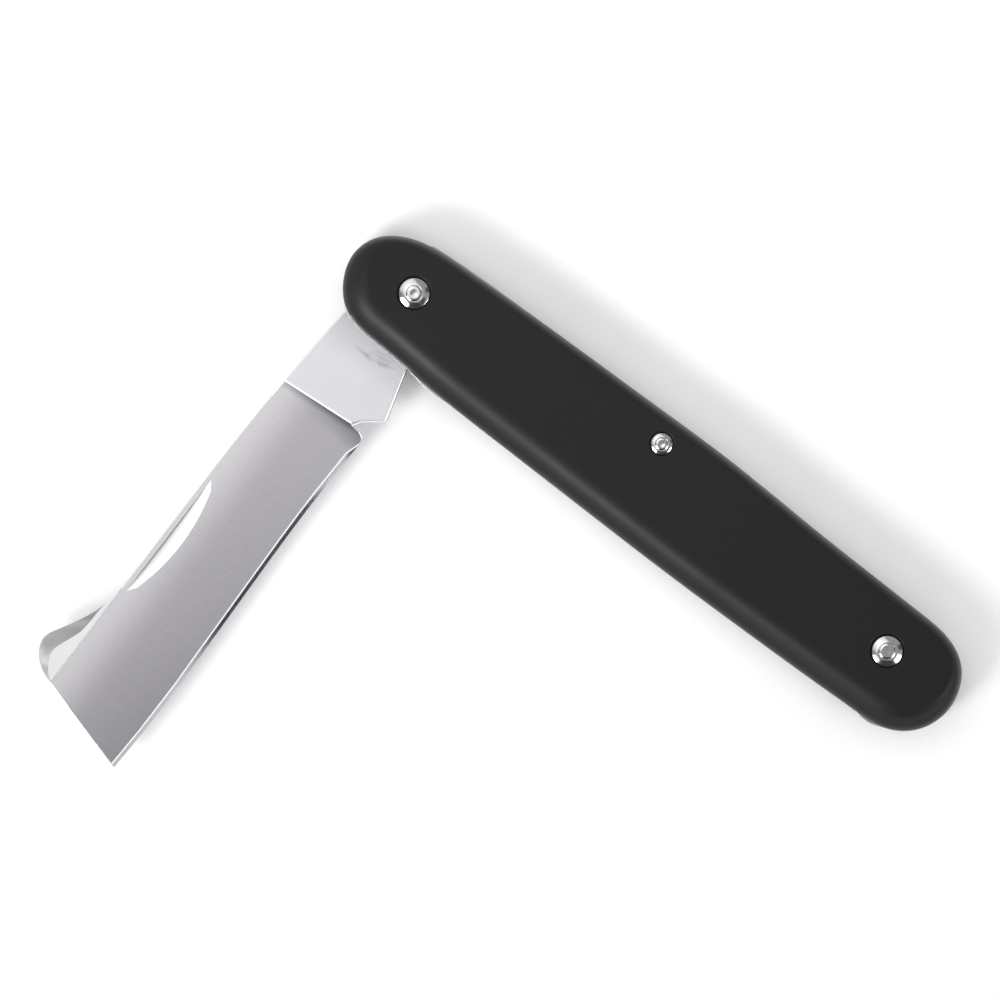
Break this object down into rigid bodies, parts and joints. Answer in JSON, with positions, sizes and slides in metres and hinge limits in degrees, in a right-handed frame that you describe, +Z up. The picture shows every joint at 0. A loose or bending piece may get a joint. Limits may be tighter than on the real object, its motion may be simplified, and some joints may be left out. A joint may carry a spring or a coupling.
{
  "type": "budding knife",
  "caption": "Folding budding knife, half open: straight blade with a bark lifter on its spine, nail nick, sprung pivot, and black moulded scales with domed rivets.",
  "frame": {"origin": "on the flat outer face of the back scale, midway along the handle, on the line through the pivot and end pins", "axes": "+X along the handle from the pivot to the butt, +Y towards the handle's back, +Z up out of the knife's front face; the knife lies on its back scale"},
  "size_m": [0.1021, 0.0823, 0.0121],
  "materials": {
    "scale_nylon": "fine moulded matte nylon, black",
    "liner_steel": "blanked steel sheet, satin",
    "spring_steel": "hardened steel, ground edges",
    "blade_steel": "stainless steel, cross-ground faces, satin tang",
    "rivet_steel": "polished, peened"
  },
  "bodies": {
    "handle": {"front_scale": "scale_nylon", "back_scale": "scale_nylon", "front_liner": "liner_steel", "back_liner": "liner_steel", "backspring": "spring_steel", "pivot_pin": "rivet_steel", "middle_pin": "rivet_steel", "end_pin": "rivet_steel", "front_pivot_washer": "rivet_steel", "back_pivot_washer": "rivet_steel", "front_middle_washer": "rivet_steel", "back_middle_washer": "rivet_steel", "front_end_washer": "rivet_steel", "back_end_washer": "rivet_steel"},
    "blade": {"blade": "blade_steel"}
  },
  "joints": [
    {"name": "blade_pivot", "type": "hinge", "parent": "handle", "child": "blade", "pos_m": [-0.0403, 0, 0.00605], "axis": [0, 0, 1], "range_deg": [-89.7, 82.3]}
  ]
}
